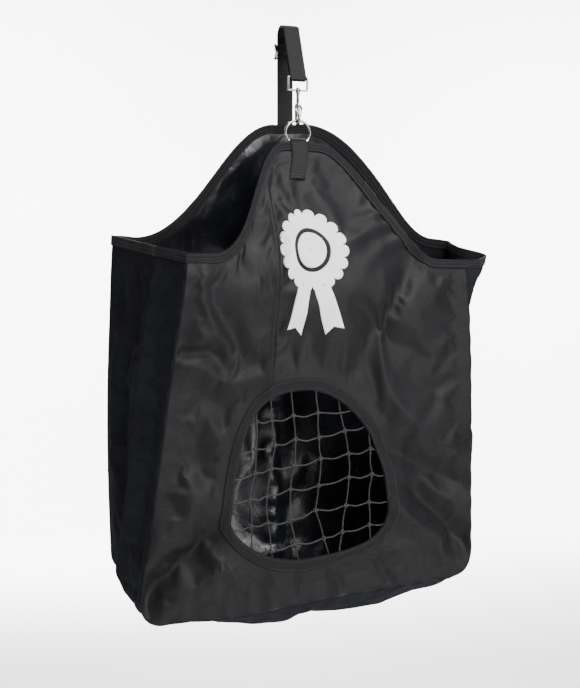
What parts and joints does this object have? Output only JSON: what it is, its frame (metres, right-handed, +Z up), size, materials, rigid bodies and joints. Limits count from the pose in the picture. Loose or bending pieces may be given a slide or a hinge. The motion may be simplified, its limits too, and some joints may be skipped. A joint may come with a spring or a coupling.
{
  "type": "hay bag",
  "caption": "Soft hanging hay bag with a netted round feeding hole, a bound peaked mouth, and a webbing strap with slider, swivel snap and D-ring.",
  "frame": {"origin": "centre of the strap's top bend, where the hook or bar that it hangs on goes", "axes": "+Z up, +X along the hook or bar (to the right as seen from the front), the front panel faces -Y"},
  "size_m": [0.5298, 0.181, 0.852],
  "materials": {
    "bag_cloth": "matt coated polyester",
    "gusset_cloth": "coated polyester",
    "edge_tape": "woven tape",
    "net_cord": "braided cord",
    "white_print": "printed",
    "webbing": "ribbed webbing",
    "thread": "sewing thread",
    "nickel_plate": "nickel plated",
    "steel_pin": "polished",
    "spring_wire": "drawn wire"
  },
  "bodies": {
    "bag": {"front_panel": "bag_cloth", "back_panel": "bag_cloth", "gusset": "gusset_cloth", "mouth_binding": "edge_tape", "hole_binding": "edge_tape", "feed_net": "net_cord", "rosette_print": "white_print", "ring_tab": "webbing", "tab_stitching": "thread", "hanging_strap": "webbing", "strap_return": "webbing", "anchor_stitching": "thread"},
    "ring": {"d_ring": "nickel_plate"},
    "eye": {"snap_eye": "nickel_plate"},
    "hook": {"snap_body": "nickel_plate", "gate_pin": "steel_pin", "gate_spring": "spring_wire"},
    "gate": {"snap_gate": "nickel_plate"},
    "strap_slider": {"slider": "nickel_plate", "strap_end_fold": "webbing", "strap_end_stitching": "thread"}
  },
  "joints": [
    {"name": "d_ring_swing", "type": "hinge", "parent": "bag", "child": "ring", "pos_m": [0, -0.039, -0.159], "axis": [1, 0, 0], "range_deg": [-12, 12]},
    {"name": "snap_pivot", "type": "hinge", "parent": "bag", "child": "eye", "pos_m": [0, -0.039, -0.0673], "axis": [1, 0, 0], "range_deg": [-5.65, 5.65]},
    {"name": "snap_swivel", "type": "hinge", "parent": "eye", "child": "hook", "pos_m": [0, -0.039, -0.0863], "axis": [0, 0, 1], "range_deg": [-30, 30]},
    {"name": "gate_swing", "type": "hinge", "parent": "hook", "child": "gate", "pos_m": [0, -0.0358, -0.1095], "axis": [-1, 0, 0], "range_deg": [0, 18], "stiffness_Nm_per_rad": 0.01, "springref_deg": -28.65},
    {"name": "slider_slide", "type": "slide", "parent": "bag", "child": "strap_slider", "axis": [0, 0, 1], "range_m": [-0.07, 0.002], "deforming": ["strap_return"]}
  ],
  "couplings": [
    {"joint": "snap_pivot", "follows": "d_ring_swing", "ratio": -0.4685}
  ]
}
